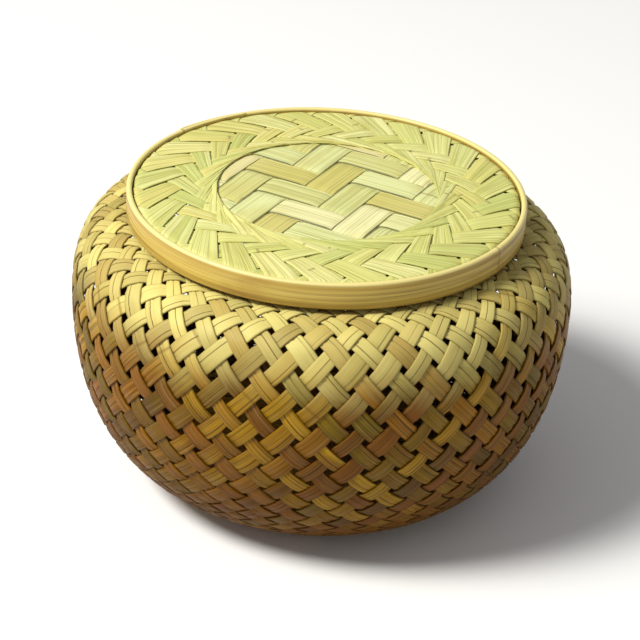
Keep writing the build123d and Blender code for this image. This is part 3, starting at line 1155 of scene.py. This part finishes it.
# %% Wrap the rim
WRAPS = 24
TURN_OFFSET = 0.00082
low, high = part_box("rim_lashing")
path = turn_path(low.z, high.z, inner_radius("rim_lashing"), outer_radius("rim_lashing"))
rng = np.random.default_rng(77)
points, faces, fibre, kind = [], [], [], []
for wrap in range(WRAPS):
    angle = 2 * math.pi * wrap / WRAPS
    cos_a, sin_a = math.cos(angle), math.sin(angle)
    for side in (-1, 1):
        slants = rng.uniform(-0.0003, 0.0003, 2)
        turn = cane_turn(path, slants[0], slants[1] + 0.0004, side * TURN_OFFSET)
        start = len(points)
        points += [(x * cos_a - y * sin_a, x * sin_a + y * cos_a, z) for x, y, z in turn[0]]
        faces += [tuple(start + i for i in f) for f in turn[1]]
        own = rng.uniform(0, 1)
        fibre += [(along, across, own) for along, across in turn[2]]
        kind += [(own, across, rest) for across, rest in turn[3]]
lashing = mesh_object("rim_lashing_wraps", points, faces, fibre, kind, cane)
hand_over(lashing, "basket", "cane_lashing", "rim_lashing")

# %% [markdown]
# ## The pegs
# Three whittled pegs pin the lid's hoops beside the lap. Their shape is simple and exact in the CAD
# model, so the CAD model's own pegs stay and only get a material: the end grain of bamboo, dark
# fibre dots in a pale ground, which the cells of a Voronoi texture draw.

# %% Peg material
def peg_material():
    material, tree = new_material("peg end grain")
    place = add(tree, "ShaderNodeTexCoord", None, "Object")
    cells = add(tree, "ShaderNodeTexVoronoi", {"Vector": place, "Scale": 5200.0}, "Distance")
    dots = 1.0 - ramp_between(cells, 0.15, 0.4)
    wide = noise(tree, place, 700.0, 3.0)
    layers = [((112, 78, 34), dots * 0.8), ((150, 112, 54), ramp_between(wide, 0.5, 0.7) * 0.5)]
    colour = painted(tree, srgb(206, 172, 98), layers)
    finish_material(tree, colour, 0.55 + dots * 0.2, dots, 0.5, 0.00008)
    return material


pegs = nodes["lid_pegs"]
pegs.data.materials.clear()
pegs.data.materials.append(peg_material())
print("pegs:", len(pegs.data.polygons), "faces")

# %% [markdown]
# ## Floor, light and camera
# A plain pale floor and soft light from the upper left. One lamp alone would either fill the gaps
# of the weave or leave hard shadows, so a soft sun gives the direction, an area lamp the gloss and
# a weak white world the rest. The world looks brighter to the camera than it shines, which keeps
# the gaps dark. The camera looks down at about thirty-three degrees.

# %% Floor
FLOOR_REACH = 6
corners = [(-1, -1), (1, -1), (1, 1), (-1, 1)]
floor_mesh = bpy.data.meshes.new("floor")
floor_mesh.from_pydata([(x * FLOOR_REACH, y * FLOOR_REACH, 0) for x, y in corners], [], [(0, 1, 2, 3)])
floor = bpy.data.objects.new("floor", floor_mesh)
bpy.context.scene.collection.objects.link(floor)
paper = bpy.data.materials.new("pale floor")
paper.use_nodes = True
paper_shader = paper.node_tree.nodes["Principled BSDF"]
paper_shader.inputs["Base Color"].default_value = (0.9, 0.9, 0.9, 1)
paper_shader.inputs["Roughness"].default_value = 0.8
floor_mesh.materials.append(paper)
print("floor:", 2 * FLOOR_REACH, "m wide")


# %% Light
def lamp(name, kind, place, size, power, colour):
    """A lamp that faces the basket. size is a disc's width, or the angle that a sun fills."""
    data = bpy.data.lights.new(name, kind)
    data.energy, data.color = power, colour
    if kind == "AREA":
        data.shape, data.size = "DISK", size
    else:
        data.angle = size
    holder = bpy.data.objects.new(name, data)
    bpy.context.scene.collection.objects.link(holder)
    holder.location = place
    holder.rotation_euler = (basket_middle - Vector(place)).to_track_quat("-Z", "Y").to_euler()
    holder.visible_camera = False
    print(f"{name}: {kind.lower()} lamp, power {power}")


basket_middle = Vector((0, 0, 0.07))
lamp("sky", "SUN", (-1.2, -0.5, 1.7), math.radians(16), 1.8, (1.0, 0.985, 0.94))
lamp("key", "AREA", (-0.9, -0.35, 1.15), 0.5, 16, (1.0, 0.98, 0.92))
world = bpy.context.scene.world or bpy.data.worlds.new("world")
bpy.context.scene.world = world
world.use_nodes = True
background = world.node_tree.nodes["Background"]
background.inputs["Color"].default_value = (1, 1, 1, 1)
seen = add(world.node_tree, "ShaderNodeLightPath", None, "Is Camera Ray")
connect(world.node_tree, seen * 0.47 + 0.33, background.inputs["Strength"])
bpy.context.scene.view_settings.view_transform = "Standard"

# %% Camera
camera_data = bpy.data.cameras.new("camera")
camera_data.lens = 118
camera = bpy.data.objects.new("camera", camera_data)
bpy.context.scene.collection.objects.link(camera)
camera.location = (0, -0.8506, 0.5556)
aim = Vector((0, 0, 0.072)) - camera.location
camera.rotation_euler = aim.to_track_quat("-Z", "Y").to_euler()
camera.rotation_euler.rotate_axis("Z", math.radians(3.2))
bpy.context.scene.camera = camera
print("camera:", round(aim.length, 3), "m from its aim")

# %% [markdown]
# ## Sizes and the end
# The woven pieces have to stay inside the CAD model's box, or a basket on a shelf would cut into
# its neighbour.
